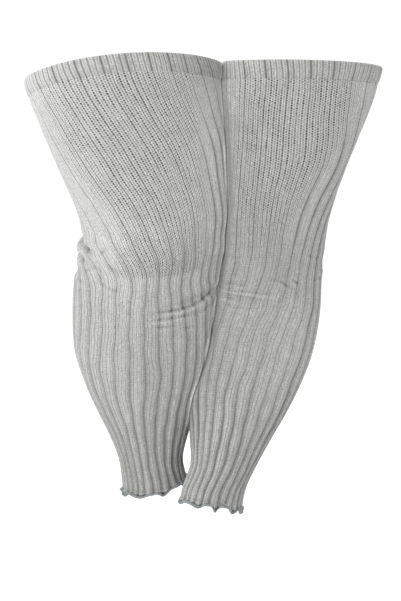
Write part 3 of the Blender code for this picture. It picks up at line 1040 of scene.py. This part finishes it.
def heather_group():
    """Heather yarn: pale and dark fibres spun together, and the fuzz that they raise."""
    tree, nodes, start, end = new_group(
        "Heather yarn",
        [("Colour", COLOUR, (0.5, 0.5, 0.5, 1)), ("Contrast", FLOAT, 1.0)],
        [("Colour", COLOUR), ("Fuzz", FLOAT)],
    )
    place = nodes.add("TexCoord").outputs["Object"]
    lengthwise = nodes.add("Mapping", {"Vector": place, "Scale": (1.0, 1.0, 0.55)}).outputs[0]
    flecks = nodes.noise(lengthwise, 620, 3.0, 0.7)
    clouds = nodes.noise(place, 60)
    fibre = nodes.noise(place, 1700, 2.0, 0.6)
    light = nodes.step(0.52, 0.72, flecks)
    dark = nodes.step(0.50, 0.30, flecks)
    shade = nodes.minus(nodes.times(light, 0.42), nodes.times(dark, 0.34))
    shade = nodes.plus(shade, nodes.times(nodes.minus(clouds, 0.5), 0.22))
    shade = nodes.plus(shade, nodes.times(nodes.minus(fibre, 0.5), 0.5))
    factor = nodes.plus(1.0, nodes.times(shade, start["Contrast"]))
    nodes.set(end["Colour"], nodes.scaled(start["Colour"], factor))
    nodes.set(end["Fuzz"], nodes.plus(nodes.times(flecks, 1.2), fibre))
    return tree


def new_material(name, colour, roughness, sheen):
    """A cloth material with its nodes and its shader's inputs."""
    material = bpy.data.materials.new(name)
    material.use_nodes = True
    material.diffuse_color = (*colour, 1)
    nodes = Nodes(material.node_tree)
    shader = material.node_tree.nodes["Principled BSDF"].inputs
    sheens = {"Sheen Weight": sheen, "Sheen Roughness": 0.6}
    nodes.fill(shader, {"Roughness": roughness, "Specular IOR Level": 0.2, **sheens})
    return material, nodes, shader


def darker(colour, share):
    """A share of a colour, as a node takes it."""
    return (*(part * share for part in colour), 1)


def knit_material(name, stitches, heather, line):
    """The rib knit, with painted shade in grooves, slits and eyelets, and in lines between wales by
    a share.
    """
    material, nodes, shader = new_material(name, KNIT_COLOUR, 0.95, 0.25)
    knit = nodes.add("UVMap", uv_map="knit").outputs[0]
    split = nodes.add("SeparateXYZ", {"Vector": knit}).outputs
    ladder = nodes.look("ladder")
    knitted = nodes.group(stitches, rib=split[0], course=split[1], ladder=ladder)
    yarn = nodes.group(heather, colour=(*KNIT_COLOUR, 1))
    # painted shade from the points' painted shading, and painted light where that is below zero
    painted_shading_factor = nodes.minus(1.0, nodes.times(nodes.look("hollow"), 0.40))
    grained = nodes.plus(1.0, nodes.times(knitted["Grain"], 0.42))
    sunk_in_painted_shade = nodes.scaled(yarn["Colour"], nodes.times(painted_shading_factor, grained))
    # painted shade in the lines between wales, more where the ladders open
    parted = nodes.plus(nodes.times(ladder, 0.19), line)
    painted_shade_colour = darker(KNIT_COLOUR, 0.30)
    lined = nodes.mix(nodes.times(knitted["Line"], parted), sunk_in_painted_shade, painted_shade_colour)
    # painted shade in the thin slits of the grooves
    thin = nodes.times(knitted["Groove"], nodes.times(nodes.look("slit"), 0.7))
    slitted = nodes.mix(thin, lined, painted_shade_colour)
    # near black painted shade in the open eyelets
    holed = nodes.mix(nodes.times(knitted["Hole"], 0.92), slitted, darker(KNIT_COLOUR, 0.05))
    relief = nodes.bump(knitted["Height"], 0.55 * MM)
    fuzzy = nodes.bump(yarn["Fuzz"], 0.4 * MM, relief)
    nodes.fill(shader, {"Base Color": holed, "Normal": fuzzy})
    return material


def thread_material(heather):
    """The overlock thread, smoother and a little bluer than the knit."""
    material, nodes, shader = new_material("overlock_thread", THREAD_COLOUR, 0.8, 0.1)
    yarn = nodes.group(heather, colour=(*THREAD_COLOUR, 1), contrast=0.8)
    # painted shade from the points' painted shading
    painted_shading_factor = nodes.minus(1.0, nodes.times(nodes.look("hollow"), 0.5))
    sunk_in_painted_shade = nodes.scaled(yarn["Colour"], painted_shading_factor)
    nodes.fill(shader, {"Base Color": sunk_in_painted_shade, "Normal": nodes.bump(yarn["Fuzz"], 0.15 * MM)})
    return material


# ---------------- stage


def new_plane(name, size, place, material):
    """A flat square."""
    mesh = bmesh.new()
    bmesh.ops.create_grid(mesh, x_segments=1, y_segments=1, size=size)
    bmesh.ops.translate(mesh, verts=mesh.verts, vec=place)
    data = bpy.data.meshes.new(name)
    mesh.to_mesh(data)
    mesh.free()
    data.materials.append(material)
    return in_scene(name, data)


def make_floor():
    """A white floor that gives off a little light."""
    material = bpy.data.materials.new("white_floor")
    material.use_nodes = True
    shader = material.node_tree.nodes["Principled BSDF"].inputs
    matt = {"Base Color": (0.85, 0.85, 0.85, 1), "Roughness": 1.0, "Specular IOR Level": 0.0}
    Nodes(material.node_tree).fill(shader, {**matt, "Emission Strength": 0.22})
    new_plane("floor", 30.0, (0, 0, FLOOR_HEIGHT), material)


def add_light(name, place, power):
    """A square lamp that shines at the middle of the pair."""
    data = bpy.data.lights.new(name, "AREA")
    data.energy = power
    data.size = LIGHT_SIZE
    lamp = in_scene(name, data)
    lamp.location = place
    direction = Vector(LIGHT_AIM) - Vector(place)
    lamp.rotation_euler = direction.to_track_quat("-Z", "Y").to_euler()


def make_lights():
    """White light from all round, and two lamps in front and to the left."""
    world = bpy.data.worlds.new("studio")
    bpy.context.scene.world = world
    world.use_nodes = True
    background = world.node_tree.nodes["Background"].inputs
    Nodes(world.node_tree).fill(background, {"Color": (1, 1, 1, 1), "Strength": 1.02})
    add_light("key", (-0.9, -2.6, 1.3), 53)
    add_light("side", (-2.9, -0.5, 0.6), 41)


def make_camera():
    """The camera, in front of the pair and a little above its middle."""
    data = bpy.data.cameras.new("camera")
    data.lens = 98.5
    camera = in_scene("camera", data)
    camera.location = CAMERA_PLACE
    camera.rotation_euler = (math.radians(90) - CAMERA_TILT, 0, 0)
    bpy.context.scene.camera = camera


bpy.context.scene.view_settings.view_transform = "Standard"
STITCHES = stitch_group()
HEATHER = heather_group()
KNIT = knit_material("heather_rib_knit", STITCHES, HEATHER, 0.12)
BAND_KNIT = knit_material("heather_rib_band", STITCHES, HEATHER, 0.42)
THREAD = thread_material(HEATHER)


def finish_piece(piece, material, slot, *nodes):
    """A piece with its material and the solids that it stands for; its slot is not used."""
    piece.data.materials.append(material)
    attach(piece, "root")
    if nodes:
        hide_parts(*nodes)
    return piece


for leg, side in ((RIGHT, "right"), (LEFT, "left")):
    tube = finish_piece(make_tube(leg, f"{side}_leg_tube"), KNIT, "rib_knit", f"{side}_tube")
    band = finish_piece(
        make_band(leg, f"{side}_turned_band"), BAND_KNIT, "rib_knit", f"{side}_thigh_band"
    )
    edge = finish_piece(
        make_edge(leg, f"{side}_wavy_edge"), KNIT, "rib_knit", f"{side}_ankle_edge"
    )
    stitches = finish_piece(
        make_stitches(leg, f"{side}_overlock_stitches"), THREAD, "overlock_thread"
    )

make_floor()
make_lights()
make_camera()
